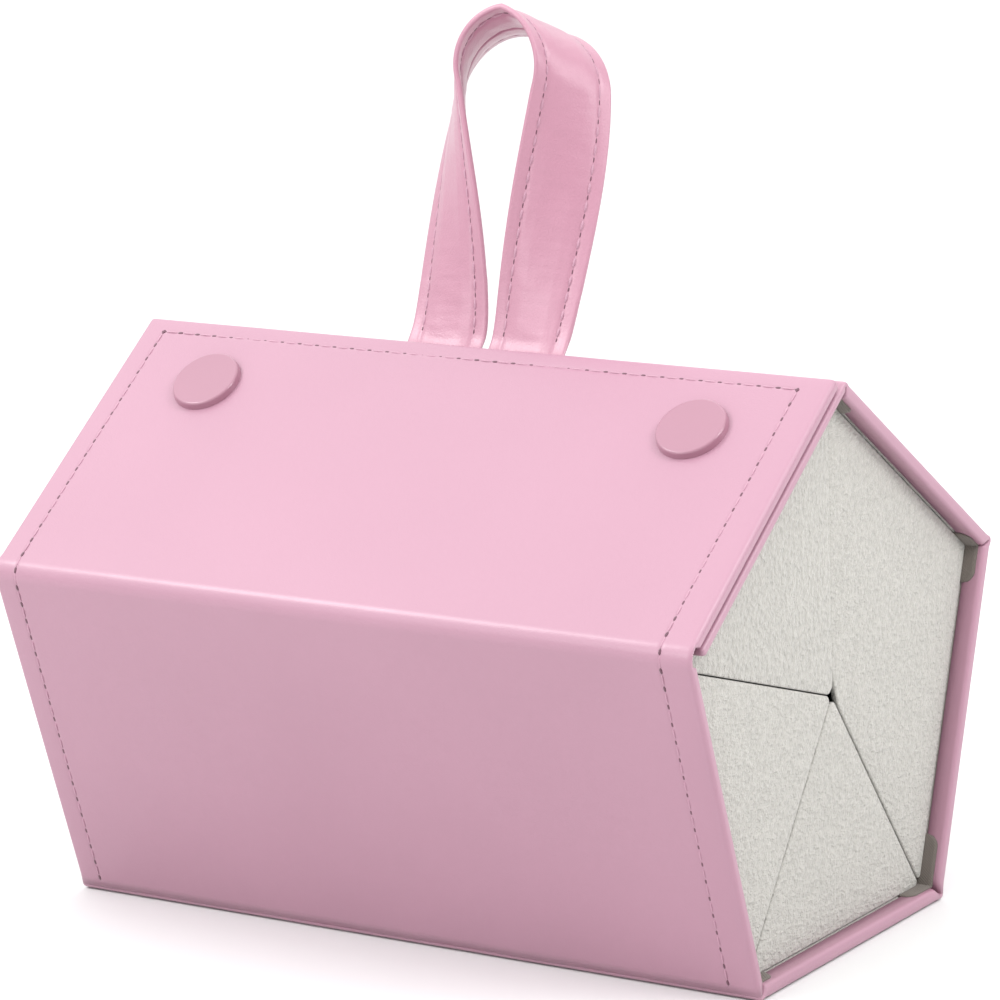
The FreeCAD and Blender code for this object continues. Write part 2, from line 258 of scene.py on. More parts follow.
def leather_shell(name, route, material, full, mitre_start=False, mitre_end=False, rolled_start=False,
                  rolled_end=False, fine_at=(), grooves=(), lined=True, bulge=PUFF, seed=1):
    """Leather over board along a route: each ring is the panel's section, set along the normal.

    The depth is the section's share times the thickness. The outer face rises by the bulge,
    as a quarter sine from each fold and end, times one less the sixth power of the share of
    the half width, plus waves, and less a bell curve across each line of stitching. Near a
    rolled end the section shrinks as a quarter circle.
    """
    s = route.stations(2.4 * MM, fine_at, rolled_start, rolled_end)
    place, normal = route.at(s)
    x, d, lining = rim_ring(HALF)
    thick = thickness_along(route, s, full(s) if callable(full) else full)
    if mitre_start:
        thick = np.minimum(thick, FOLD_T + MITRE * s)
    if mitre_end:
        thick = np.minimum(thick, FOLD_T + MITRE * (route.length - s))
    share = np.broadcast_to(d, (len(s), len(d))).copy()
    lined_here = lined(s) if callable(lined) else np.full(len(s), lined)
    share[:, lining] = np.where(lined_here[:, None], RECESS, 1.0)
    depth = share * thick[:, None]
    outside = np.isclose(d, 0)
    xs = np.broadcast_to(x, depth.shape).copy()
    away = np.full(len(s), 1.0)
    for start, end in route.folds:
        away = np.minimum(away, np.clip(np.maximum(start - s, s - end) / PUFF_REACH, 0, 1))
    edge = np.clip(np.minimum(s, route.length - s) / PUFF_REACH, 0, 1)
    puff = bulge * np.sin(away * math.pi / 2) * np.sin(edge * math.pi / 2)
    across = np.clip(1 - (np.abs(xs) / HALF) ** 6, 0, 1)
    rise = puff[:, None] * across + UNEVEN * ripple(xs, s[:, None], seed, 34 * MM) * across
    for line_x, s0, s1 in grooves:
        inside = (s > s0) & (s < s1)
        rise = rise - GROOVE * np.exp(-((xs - line_x) / GROOVE_HALF) ** 2) * inside[:, None]
    for line_s in fine_at:
        dip = GROOVE * np.exp(-((s - line_s) / GROOVE_HALF) ** 2)
        between = (xs > -HALF + STITCH_LEFT) & (xs < HALF - STITCH_RIGHT)
        rise = rise - dip[:, None] * between
    depth = depth - rise * outside[None, :]
    for rolled, dist in ((rolled_start, s), (rolled_end, route.length - s)):
        if rolled:
            near = np.clip(1 - dist / EDGE_R, 0, 1)
            k = np.sqrt(np.clip(1 - near**2, 0.003, 1))[:, None]
            middle = thick[:, None] / 2
            depth = middle + (depth - middle) * k
            xs = xs * (HALF - EDGE_R * (1 - k)) / HALF
    yz = place[:, None, :] - normal[:, None, :] * depth[..., None]
    grid = np.concatenate([xs[..., None], yz], -1)
    return capped_tube(name, grid, material)


def threads(name, starts, ends, normals, material, width, height, lift, rings=5, sides=6):
    """Short rounded bars from starts to ends; each arches by lift over the surface between.

    The lift is half a sine wave, and the bar's thickness the root of one less a fourth power.
    """
    starts, ends, normals = (np.asarray(v, float) for v in (starts, ends, normals))
    along = np.linspace(0, 1, rings)
    swell = np.sqrt(np.clip(1 - (2 * along - 1) ** 4, 0.02, 1))
    run = unit(ends - starts)
    side = np.cross(run, normals)
    centre = starts[:, None] + (ends - starts)[:, None] * along[None, :, None]
    centre = centre + normals[:, None] * (lift * np.sin(along * math.pi) - 0.04 * MM)[None, :, None]
    a = np.linspace(0, 2 * math.pi, sides, endpoint=False)
    offset = (normals[:, None, None] * (np.sin(a) * height / 2)[None, None, :, None]
              + side[:, None, None] * (np.cos(a) * width / 2)[None, None, :, None])
    grid = centre[:, :, None] + offset * swell[None, :, None, None]
    faces = []
    each = rings * sides
    for i in range(len(starts)):
        faces += grid_faces(rings, sides, True, i * each)
        faces.append(list(range(i * each, i * each + sides)))
        faces.append(list(range((i + 1) * each - sides, (i + 1) * each)))
    return mesh_piece(name, grid, faces, material)


def seam(place_at, length, start=0.0, pitch=STITCH_PITCH):
    """Ends of the stitches and of the needle holes between them, along one line of stitching.

    place_at turns lengths along the line into points and normals.
    """
    count = round((length - start) / pitch)
    pitch = (length - start) / count
    knots = start + np.arange(count + 1) * pitch
    hole = STITCH_HOLE / 2
    stitch = [place_at(knots[:-1] + hole * 0.9), place_at(knots[1:] - hole * 0.9)]
    holes = [place_at(knots - hole), place_at(knots + hole)]
    return stitch, holes


def sew(name, seams, lift=0.09 * MM, bold=1.0):
    """Thread and needle holes of several lines of stitching, as two pieces."""
    pieces = []
    thread_size = (0, THREAD, 0.46 * MM * bold, 0.36 * MM * bold, lift)
    hole_size = (1, NEEDLE_HOLE, 0.66 * MM, 0.16 * MM, 0.03 * MM)
    for kind, material, width, height, up in (thread_size, hole_size):
        starts = np.concatenate([line[kind][0][0] for line in seams])
        ends = np.concatenate([line[kind][1][0] for line in seams])
        normals = np.concatenate([line[kind][0][1] for line in seams])
        label = name + ("_stitches" if kind == 0 else "_needle_holes")
        pieces.append(threads(label, starts, ends, normals, material, width, height, up))
    return pieces


def outline_of(node):
    """A plate's outline in Y and Z, in order round its middle, from its CAD node."""
    mesh = NODES[node].data
    co = np.zeros(len(mesh.vertices) * 3)
    mesh.vertices.foreach_get("co", co)
    yz = np.unique(np.round(co.reshape(-1, 3)[:, 1:], 6), axis=0)
    middle = yz.mean(0)
    order = np.argsort(np.arctan2(yz[:, 1] - middle[1], yz[:, 0] - middle[0]))
    return yz[order]


def rounded_outline(points, radius, step):
    """A convex outline with an arc of the radius at each corner: points and outward normals."""
    places, normals = [], []
    for before, here, after in zip(np.roll(points, 1, axis=0), points, np.roll(points, -1, axis=0)):
        a, b = unit(here - before), unit(after - here)
        turn = math.acos(np.clip(a @ b, -1, 1))
        shorter = min(np.linalg.norm(here - before), np.linalg.norm(after - here))
        r = min(radius, 0.3 * shorter / max(math.tan(turn / 2), 1e-3))
        cut = r * math.tan(turn / 2)
        centre = here - a * cut + np.array([-a[1], a[0]]) * r
        theta = np.linspace(0, turn, 7)[:, None]
        arc = np.array([a[1], -a[0]]) * np.cos(theta) + a * np.sin(theta)
        start = here + b * cut
        t = np.arange(step, np.linalg.norm(after - start) - step, step)[:, None]
        places += [centre + arc * r, start + b * t]
        normals += [arc, np.array([b[1], -b[0]]) + 0 * t]
    return np.concatenate(places), np.concatenate(normals)


def velvet_end(node, material, seed, grow):
    """A velvet end: a flat plate with rounded edges whose face swells a little in the middle.

    The swell is the product, over the plate's edges, of one less a falling exponential of the
    distance from that edge. The outline is moved outwards by grow.
    """
    low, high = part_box(node)
    thick = high[0] - low[0]
    outward = 1 if high[0] > 0 else -1
    back_x = low[0] if outward > 0 else high[0]
    edge = 0.45 * MM
    corners = outline_of(node)
    places, normals = rounded_outline(corners, 0.7 * MM, 1.5 * MM)
    places = places + normals * grow
    middle = places.mean(0)
    rings = [(0.25 * MM, 0.0)]
    rings += [(edge * (1 - math.cos(a)), thick - edge + edge * math.sin(a))
              for a in np.linspace(0, math.pi / 2, 6)]
    levels, inset = [], []
    for shrink, height in rings:
        levels.append(places - normals * shrink)
        inset.append(np.full(len(places), height))
    base = levels[-1]
    for k in np.linspace(1, 0.02, 26)[1:]:
        levels.append(middle + (base - middle) * k)
        inset.append(np.full(len(places), thick))
    yz = np.array(levels)
    h = np.array(inset)
    swell = np.ones(h.shape)
    for a, b in zip(corners, np.roll(corners, -1, axis=0)):
        run = unit(b - a)
        away = np.clip((yz - a) @ np.array([-run[1], run[0]]) - edge, 0, None)
        swell = swell * (1 - np.exp(-away / (2.2 * MM)))
    wave = 0.06 * MM * ripple(yz[..., 0], yz[..., 1], seed, 21 * MM)
    h = h + (0.28 * MM + wave) * swell
    grid = np.stack([back_x + outward * h, yz[..., 0], yz[..., 1]], -1)
    piece = capped_tube(node + "_velvet", grid, material)
    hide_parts(node)
    return piece


def soft_edged(node, material, body, radius):
    """The CAD node's own shape with its edges rounded: flat faces stay flat, rounds are smooth."""
    mesh = NODES[node].data.copy()
    work = bmesh.new()
    work.from_mesh(mesh)
    bmesh.ops.remove_doubles(work, verts=work.verts, dist=0.01 * MM)
    bmesh.ops.dissolve_limit(work, angle_limit=0.02, verts=work.verts, edges=work.edges)
    for face in work.faces:
        face.smooth = False
    sharp = [edge for edge in work.edges if edge.calc_face_angle(0) > 0.5]
    rounds = bmesh.ops.bevel(work, geom=sharp, offset=radius, segments=3, profile=0.5, affect="EDGES")
    for face in rounds["faces"]:
        face.smooth = True
    work.to_mesh(mesh)
    work.free()
    piece = bpy.data.objects.new(node + "_soft", mesh)
    bpy.context.scene.collection.objects.link(piece)
    piece.data.materials.clear()
    piece.data.materials.append(material)
    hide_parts(node)
    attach(piece, body)


# ---------------------------------------------------------------- materials


class Value:
    """One shader socket; arithmetic on it adds Math nodes."""

    def __init__(self, shader, socket):
        self.shader = shader
        self.socket = socket

    def math(self, operation, *values):
        inputs = dict(enumerate(values))
        return self.shader.node("ShaderNodeMath", {"operation": operation}, inputs)

    def __add__(self, other):
        return self.math("ADD", self, other)

    def __sub__(self, other):
        return self.math("SUBTRACT", self, other)

    def __rsub__(self, other):
        return self.math("SUBTRACT", other, self)

    def __mul__(self, other):
        return self.math("MULTIPLY", self, other)

    __radd__ = __add__
    __rmul__ = __mul__

    def clamp(self):
        return self.shader.node("ShaderNodeClamp", {}, {"Value": self})


class Shader:
    """The nodes of a material or a world. Constants go on the surface's own sockets."""

    def __init__(self, owner, surface, coordinates, constants):
        owner.use_nodes = True
        self.owner = owner
        self.tree = owner.node_tree
        self.surface = self.tree.nodes[surface]
        for socket, value in constants.items():
            self.surface.inputs[socket.replace("_", " ")].default_value = value
        self.place = self.node("ShaderNodeTexCoord", {}, {}, coordinates)

    def node(self, kind, settings, inputs, output=0):
        """Adds a node: its settings first, then values or links on its sockets."""
        node = self.tree.nodes.new(kind)
        for name, value in settings.items():
            setattr(node, name, value)
        for name, value in inputs.items():
            if isinstance(value, Value):
                self.tree.links.new(value.socket, node.inputs[name])
            else:
                node.inputs[name].default_value = value
        return Value(self, node.outputs[output])

    def noise(self, scale, detail=2.0, roughness=0.5, at=None):
        inputs = {"Vector": at or self.place, "Scale": scale, "Detail": detail, "Roughness": roughness}
        return self.node("ShaderNodeTexNoise", {}, inputs, "Fac")

    def cells(self, scale):
        inputs = {"Vector": self.place, "Scale": scale}
        return self.node("ShaderNodeTexVoronoi", {"feature": "SMOOTH_F1"}, inputs, "Distance")

    def stretched(self, scale):
        """Object coordinates stretched by a factor for each axis."""
        return self.node("ShaderNodeMapping", {}, {"Vector": self.place, "Scale": scale})

    def mix(self, factor, a, b):
        """A colour between a and b."""
        settings = {"data_type": "RGBA"}
        return self.node("ShaderNodeMix", settings, {0: factor, 6: a, 7: b}, 2)

    def set(self, socket, value):
        self.tree.links.new(value.socket, self.surface.inputs[socket])

    def bump(self, height, distance, strength=1.0):
        inputs = {"Height": height, "Distance": distance, "Strength": strength}
        self.set("Normal", self.node("ShaderNodeBump", {}, inputs, "Normal"))


def new_material(name, **constants):
    """A procedural material that reads Object coordinates."""
    return Shader(bpy.data.materials.new(name), "Principled BSDF", "Object", constants)


def shade(color, k):
    """A colour made darker or lighter."""
    return tuple(min(1.0, c * k) for c in color[:3]) + (1.0,)


PINK = (0.390, 0.208, 0.276, 1.0)
STRAP_PINK = (0.430, 0.204, 0.277, 1.0)
CAP_PINK = (0.320, 0.151, 0.206, 1.0)
CREAM = (0.440, 0.426, 0.396, 1.0)
# The hinge tapes' colour is painted shade: they are coloured as dark as they look in the shaded corners,
# darker than the cloth itself
TAPE_PAINTED_SHADE = (0.150, 0.130, 0.115, 1.0)


def leather(name, color, roughness, grain, coat=0.25, coat_roughness=0.22):
    """Smooth coated leather: faint pebble grain, a few long soft marks, slight colour drift."""
    shader = new_material(name, Specular_IOR_Level=0.5, Coat_Weight=coat, Coat_Roughness=coat_roughness)
    drift = shader.noise(22, 2.0)
    tone = (drift * 2.2 - 0.6).clamp()
    shader.set("Base Color", shader.mix(tone, shade(color, 0.975), shade(color, 1.02)))
    pebbles = shader.cells(2600)
    fine = shader.noise(5200, 2.0)
    creases = shader.noise(420, 4.0, 0.62, shader.stretched((1.0, 0.35, 0.35)))
    height = pebbles * 0.45 + fine * 0.35 + creases * 0.9
    shader.bump(height, grain, 0.55)
    shader.set("Roughness", (shader.noise(160, 3.0) * 0.14 + (roughness - 0.07)).clamp())
    return shader.owner


def velvet(name, color, nap):
    """Short-pile velvet: pebbled nap that leans, with lighter tips and shaded hollows."""
    shader = new_material(name, Roughness=0.93, Specular_IOR_Level=0.18,
                          Sheen_Weight=0.35, Sheen_Roughness=0.45)
    leaning = shader.stretched((1.0, 0.72, 1.15) if nap < 1.2 else (1.0, 1.0, 0.95))
    nubs = shader.noise(1050 / nap, 2.0, 0.55, leaning)
    pile = shader.noise(3400, 2.0, 0.6)
    clouds = shader.noise(34, 2.0)
    tone = (nubs * 2.6 - 0.8 + clouds * 0.3 - 0.15).clamp()
    shader.set("Base Color", shader.mix(tone, shade(color, 0.90), shade(color, 1.06)))
    shader.bump(nubs * 1.0 + pile * 0.16, 1.1 * MM * nap, 0.8)
    return shader.owner


def plain_cloth(name, color):
    """Thin woven lining tape."""
    shader = new_material(name, Roughness=0.85, Specular_IOR_Level=0.2, Sheen_Weight=0.2)
    weave = shader.node("ShaderNodeTexWave", {"wave_type": "BANDS", "bands_direction": "DIAGONAL"},
                        {"Vector": shader.place, "Scale": 900.0, "Distortion": 1.5}, "Fac")
    shader.set("Base Color", shader.mix(weave * 0.5, shade(color, 0.92), shade(color, 1.06)))
    shader.bump(weave + shader.noise(1500, 2.0) * 0.6, 0.12 * MM, 0.5)
    return shader.owner


def cardboard(name):
    """Grey pressed board with short fibres."""
    shader = new_material(name, Roughness=0.9)
    fibres = shader.noise(900, 4.0, 0.7, shader.stretched((0.3, 1.0, 1.0)))
    shader.set("Base Color", shader.mix(fibres, (0.30, 0.27, 0.23, 1), (0.46, 0.42, 0.36, 1)))
    shader.bump(fibres, 0.1 * MM, 0.5)
    return shader.owner


def snap_metal(name):
    """Bright pressed steel with fine turning marks."""
    shader = new_material(name, Metallic=1.0, Specular_IOR_Level=0.5)
    marks = shader.noise(1400, 2.0, 0.5)
    shader.set("Base Color", shader.mix(marks, (0.19, 0.185, 0.18, 1), (0.25, 0.245, 0.24, 1)))
    shader.set("Roughness", (marks * 0.2 + 0.25).clamp())
    return shader.owner


def thread(name, color):
    """Twisted sewing thread."""
    shader = new_material(name, Roughness=0.6, Sheen_Weight=0.3)
    twist = shader.noise(3000, 2.0)
    shader.set("Base Color", shader.mix(twist, shade(color, 0.9), shade(color, 1.05)))
    shader.bump(twist, 0.05 * MM, 0.5)
    return shader.owner


LEATHER = leather("pink_leather", PINK, 0.40, 0.10 * MM)
STRAP_LEATHER = leather("strap_leather", STRAP_PINK, 0.36, 0.20 * MM, 0.55, 0.34)
CAP_FINISH = leather("snap_cap_finish", CAP_PINK, 0.33, 0.02 * MM, 0.4)
VELVET = velvet("cream_velvet", CREAM, 1.0)
COARSE_VELVET = velvet("coarse_cream_velvet", CREAM, 1.35)
# Lining tape material: its dark colour is painted shade of the inside corners
SHADED_TAPE_CLOTH = plain_cloth("lining_tape", TAPE_PAINTED_SHADE)
BOARD = cardboard("grey_board")
METAL = snap_metal("snap_steel")
THREAD = thread("pink_thread", shade(PINK, 1.12))
NEEDLE_HOLE = thread("needle_hole_shadow", (0.11, 0.035, 0.06, 1.0))


# ---------------------------------------------------------------- leather panels


def yz_point(p):
    return (0.0, float(p[0]), float(p[1]))


def front_and_flap():
    """Front lower panel, the soft bend at the flap, and the flap, in one run of leather."""
    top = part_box("flap_cover")[1][2]
    reach = (top - FOLDS["flap"][1]) / UP_FRONT[1]
    flap_end = FOLDS["flap"] + UP_FRONT * (reach - FOLD_R * OUT_FRONT[1] / UP_FRONT[1])
    route = Route([FOLDS["front_bottom"], FOLDS["flap"], flap_end], [FOLD_R, SOFT_BEND, FOLD_R])
    bend = route.folds[0][1]
    top_line = route.length - STITCH_TOP
    left, right = -HALF + STITCH_LEFT, HALF - STITCH_RIGHT
    piece = leather_shell(
        "front_and_flap_leather", route, LEATHER,
        full=lambda s: np.where(s < bend, FRONT_PANEL, FLAP), mitre_start=True, rolled_end=True,
        fine_at=(top_line,), grooves=((left, 2 * MM, top_line), (right, 2 * MM, top_line)),
        lined=lambda s: s < route.length - FREE_EDGE, seed=3)
    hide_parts("flap_cover", "flap_board", "fold_flap", "front_lower_cover")

    def side_line(x):
        def place_at(s):
            yz, normal = route.at(s)
            flat = np.zeros((len(s), 1))
            return (np.concatenate([flat + x, yz], 1), np.concatenate([flat, normal], 1))
        return place_at

    def top_edge(x):
        s = np.full(len(x), top_line)
        yz, normal = route.at(s)
        return (np.concatenate([x[:, None], yz], 1), np.concatenate([0 * x[:, None], normal], 1))

    seams = [seam(side_line(x), top_line, 2.4 * MM, SIDE_PITCH) for x in (left, right)]
    seams.append(seam(top_edge, right, left))
    sewn = sew("front", seams)
    down = unit(FOLDS["front_bottom"] - FOLDS["flap"])
    start = yz_point(FOLDS["flap"] + down * 3.0 * MM)
    for p in [piece] + sewn:
        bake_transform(p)


def bottom_leather():
    """Bottom panel with the fold up to the front."""
    up = unit(FOLDS["flap"] - FOLDS["front_bottom"])
    near = FOLDS["front_bottom"] + up * 0.03 * MM
    route = Route([FOLDS["back_bottom"], FOLDS["front_bottom"], near])
    piece = leather_shell("bottom_leather", route, LEATHER, PANEL, mitre_start=True, bulge=0.0, seed=5)
    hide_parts("bottom_cover", "fold_front_bottom")
    yz_point(FOLDS["front_bottom"] + up * 1.6 * MM)
    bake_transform(piece)


def back_fold_leather():
    """The fold from the bottom up to the back."""
    up = unit(FOLDS["back"] - FOLDS["back_bottom"])
    here = FOLDS["back_bottom"]
    route = Route([here + up * 0.03 * MM, here, here - np.array([0.03 * MM, 0])])
    piece = leather_shell("back_fold_leather", route, LEATHER, FOLD_T, seed=6)
    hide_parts("fold_back_bottom")
    yz_point(here + up * 1.6 * MM)
    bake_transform(piece)


def back_wrap():
    """Panel under the flap, back upper and back lower panels, in one run of leather."""
    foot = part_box("front_upper_cover")[0][2]
    reach = (FOLDS["top"][1] - foot) / UP_FRONT[1] - 1.0 * MM
    free_edge = FOLDS["top"] - UP_FRONT * reach
    route = Route([free_edge, FOLDS["top"], FOLDS["back"], FOLDS["back_bottom"]])
    top = route.folds[0][1]
    piece = leather_shell("back_wrap_leather", route, LEATHER, lambda s: np.where(s < top, UNDER, PANEL),
                          mitre_end=True, rolled_start=True, seed=7)
    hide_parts("front_upper_cover", "back_upper_cover", "back_lower_cover", "fold_top", "fold_back")
    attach(piece, "back")


# ---------------------------------------------------------------- handle


LEG_SPREAD = 10.0 * MM
LOOP_R = 13.5 * MM
LEG_HEIGHT = 52.2 * MM
LEAN = math.radians(13.2)
TOP_TILT = math.radians(29)
BOW = 1.5
TWIST = 1.2
TAB = 20 * MM


def strap_frame(t):
    """Middle, width direction and outward face of the strap, at lengths t from its left foot.

    Under the flap it lies along the front upper panel; it bends up, the legs bow out as a
    quarter sine, and a round bend joins them. The width turns evenly from the front at the
    feet to edge-on at the top. The right half mirrors the left.
    """
    half = LEG_HEIGHT + LOOP_R * math.pi / 2
    mirrored = t > half
    u = np.where(mirrored, 2 * half - t, t)
    up_part = np.clip(u, 0, LEG_HEIGHT)
    bend = np.clip(u - LEG_HEIGHT, 0, None) / LOOP_R
    share = up_part / LEG_HEIGHT
    x = -(LEG_SPREAD + (LOOP_R - LEG_SPREAD) * np.sin(share**BOW * math.pi / 2))
    x = np.where(bend > 0, -LOOP_R * np.cos(bend), x)
    leaning = np.array([math.sin(LEAN), math.cos(LEAN)])
    ease = 4 * MM
    ramp = 0.5 * (u + np.sqrt(u * u + ease * ease))
    down = ramp - u
    rise = np.where(u < 12 * MM, ramp, up_part + LOOP_R * np.sin(bend))
    yz = HANDLE_AXIS + leaning * rise[:, None] - UP_FRONT * down[:, None]
    along_half = np.clip(u, 0, None) / half
    twist = math.pi / 2 * along_half**TWIST
    tilt = LEAN + (TOP_TILT - LEAN) * along_half**2
    side = np.where(mirrored, -1.0, 1.0)
    centre = np.stack([HANDLE_X + side * x, yz[:, 0], yz[:, 1]], -1)
    run = unit(np.gradient(centre, t, axis=0))
    front = np.stack([0 * tilt, -np.cos(tilt), np.sin(tilt)], -1)
    cross_run = unit(np.cross(run, front))
    wide = unit(np.cos(twist)[:, None] * cross_run + np.sin(twist)[:, None] * front)
    wide = unit(wide - run * (wide * run).sum(-1, keepdims=True))
    return centre, wide, unit(np.cross(wide, run))


def strap_half_thickness(w, t, half):
    """Half the strap's thickness: flat at its edges, dipped at the stitching, full between.

    It grows as a power 0.6 of the distance inside the stitching, less a bell curve at it, and
    is thinner where the strap lies under the flap.
    """
    edge = STRAP_W / 2 - np.abs(w)
    full = 0.62 * MM + 0.60 * MM * np.clip((edge - STRAP_SEAM) / (3.2 * MM), 0, 1) ** 0.6
    dip = 0.16 * MM * np.exp(-((edge - STRAP_SEAM) / (0.5 * MM)) ** 2)
    u = np.minimum(t, 2 * half - t)
    under = np.clip((u + 3 * MM) / (5 * MM), 0, 1)
    return (full - dip) * (0.45 + 0.55 * under)


def handle_strap():
    """The strap from one tab to the other: a puffed section carried along the loop.

    Waves fade out towards the stitching, and a bell-shaped groove runs down the back, where
    the two edges of the leather meet.
    """
    half = LEG_HEIGHT + LOOP_R * math.pi / 2
    t = np.arange(-TAB, 2 * half + TAB + 0.4 * MM, 0.8 * MM)
    centre, wide, face = strap_frame(t)
    flat = STRAP_W / 2 - 0.5 * MM
    w = np.linspace(-flat, flat, 45)
    w = np.unique(np.concatenate([w, [-0.35 * MM, -0.15 * MM, 0.15 * MM, 0.35 * MM]]))
    tt, ww = np.meshgrid(t, w, indexing="ij")
    thick = strap_half_thickness(ww, tt, half)
    crease = ripple(tt * 3.2, ww * 0.7, 21, 9 * MM) * 0.08 * MM
    broad = ripple(tt, ww, 22, 26 * MM) * 0.10 * MM
    inside = np.clip((STRAP_W / 2 - STRAP_SEAM - np.abs(ww)) / (2.5 * MM), 0, 1)
    front = thick + (crease + broad) * inside
    seam_w = 0.5 * MM * np.sin(tt / (17 * MM))
    gap = 0.42 * MM * np.exp(-((ww - seam_w) / (0.32 * MM)) ** 2)
    back = thick - gap + (ripple(tt * 2.4, ww, 23, 9 * MM) * 0.06 * MM) * inside
    round_a = np.linspace(-math.pi / 2, math.pi / 2, 7)[1:-1]
    edge_t = thick[:, :1]
    edge_w = flat + 0.5 * MM * np.cos(round_a)
    wide_ring = np.concatenate([ww, np.broadcast_to(edge_w, (len(t), 5)), ww[:, ::-1],
                                -np.broadcast_to(edge_w, (len(t), 5))], 1)
    depth_ring = np.concatenate([front, -edge_t * np.sin(round_a), -back[:, ::-1],
                                 edge_t * np.sin(round_a)], 1)
    grid = (centre[:, None] + wide[:, None] * wide_ring[..., None]
            + face[:, None] * depth_ring[..., None])
    piece = capped_tube("handle_strap", grid, STRAP_LEATHER)
    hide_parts("handle_left", "handle_right", "handle_tabs", "handle_fold")
    seams = []
    for sign in (-1, 1):
        w0 = sign * (STRAP_W / 2 - STRAP_SEAM)
        for side in (-1, 1):
            seams.append(seam(strap_line(w0, side, half), 2 * half - 1 * MM, 1 * MM, STRAP_PITCH))
    sewn = sew("strap", seams, 0.15 * MM, 1.35)
    for p in [piece] + sewn:
        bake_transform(p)


def strap_line(w0, side, half):
    """A line of stitching on the strap, w0 from its middle, on its front (1) or back (-1)."""
    def place_at(t):
        dense = np.linspace(t[0] - 2 * MM, t[-1] + 2 * MM, 1600)
        centre, wide, face = strap_frame(dense)
        lift = strap_half_thickness(np.full(len(dense), w0), dense, half)
        path = centre + wide * w0 + face * (side * lift)[:, None]
        place = np.stack([np.interp(t, dense, path[:, k]) for k in range(3)], -1)
        normal = np.stack([np.interp(t, dense, face[:, k] * side) for k in range(3)], -1)
        return place, unit(normal)
    return place_at


# ---------------------------------------------------------------- snaps, tapes, velvet


def snap_caps():
    """Two lathe-turned caps: flat top, rounded shoulder and a wall that leans in at its foot."""
    low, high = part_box("snap_caps")
    spread = high[0] - CAP_R
    middle = np.array([(low[1] + high[1]) / 2, (low[2] + high[2]) / 2])
    height = 2.3 * MM
    foot = middle - OUT_FRONT * height / 2
    bend = np.linspace(0, math.pi / 2, 8)
    shoulder = 0.55 * MM
    flat = np.array([0.02, 2, 4, 5.8, 6.5, 6.86]) * MM
    radius = np.concatenate([flat, CAP_R - 0.18 * MM - shoulder * (1 - np.sin(bend)),
                             [CAP_R - 0.05 * MM, CAP_R, CAP_R - 0.05 * MM, CAP_R - 0.5 * MM, 0.02 * MM]])
    top = np.array([-0.08, -0.075, -0.06, -0.03, -0.005, 0.0]) * MM + height
    rise = np.concatenate([top, height - shoulder * (1 - np.cos(bend)),
                           np.array([1.1, 0.55, 0.2, -0.25, -0.25]) * MM])
    a = np.linspace(0, 2 * math.pi, 72, endpoint=False)
    out = np.array([0, *OUT_FRONT])
    up = np.array([0, *UP_FRONT])
    for name, x in (("left", -spread), ("right", spread)):
        centre = np.array([x, foot[0], foot[1]])
        ring = np.cos(a)[:, None] * np.array([1.0, 0, 0]) + np.sin(a)[:, None] * up
        grid = centre + radius[:, None, None] * ring[None] + rise[:, None, None] * out
        piece = capped_tube("snap_cap_" + name, grid, CAP_FINISH)
        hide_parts("snap_caps")
        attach(piece, "flap")


def lining_tape(name, start, corner, end, nodes, ride):
    """Tape inside a corner: it follows both panels for their own lengths, with rounded ends.

    The bend at the corner is a hyperbola, and the width is cut as a quarter circle at each end.
    """
    thick = 0.35 * MM
    a, b = unit(start - corner), unit(end - corner)
    reach_a, reach_b = np.linalg.norm(start - corner), np.linalg.norm(end - corner)
    s = np.linspace(-reach_a, reach_b, 61)
    soft = 1.2 * MM
    sa = 0.5 * (-s + np.sqrt(s * s + soft * soft)) - soft / 2 * np.exp(-np.abs(s) / soft)
    sb = 0.5 * (s + np.sqrt(s * s + soft * soft)) - soft / 2 * np.exp(-np.abs(s) / soft)
    line = corner + a * sa[:, None] + b * sb[:, None]
    run = unit(np.gradient(line, s, axis=0))
    normal = np.stack([-run[:, 1], run[:, 0]], -1)
    inward = unit(a + b)
    normal = normal * np.sign((normal * inward).sum(-1, keepdims=True))
    round_r = 2.6 * MM
    near = np.minimum(s + reach_a, reach_b - s)
    cut = round_r - np.sqrt(np.clip(round_r**2 - np.clip(round_r - near, 0, round_r) ** 2, 0, None))
    reach = HALF - 1.4 * MM - cut
    share = np.array([-1, -0.99, -0.5, 0, 0.5, 0.99, 1, 1, 0.99, 0.5, 0, -0.5, -0.99, -1])
    level = np.array([0.15, 0.9, 1, 1, 1, 0.9, 0.15, -0.15, -0.3, -0.3, -0.3, -0.3, -0.3, -0.15])
    x = share[None, :] * reach[:, None]
    yz = line[:, None, :] + normal[:, None, :] * (level * thick)[None, :, None]
    piece = capped_tube(name, np.concatenate([x[..., None], yz], -1), SHADED_TAPE_CLOTH)
    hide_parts(*nodes)
    if isinstance(ride, str):
        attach(piece, ride)
    else:
        yz_point(corner + a * 3 * MM)
        yz_point(corner + b * 3 * MM)
        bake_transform(piece)


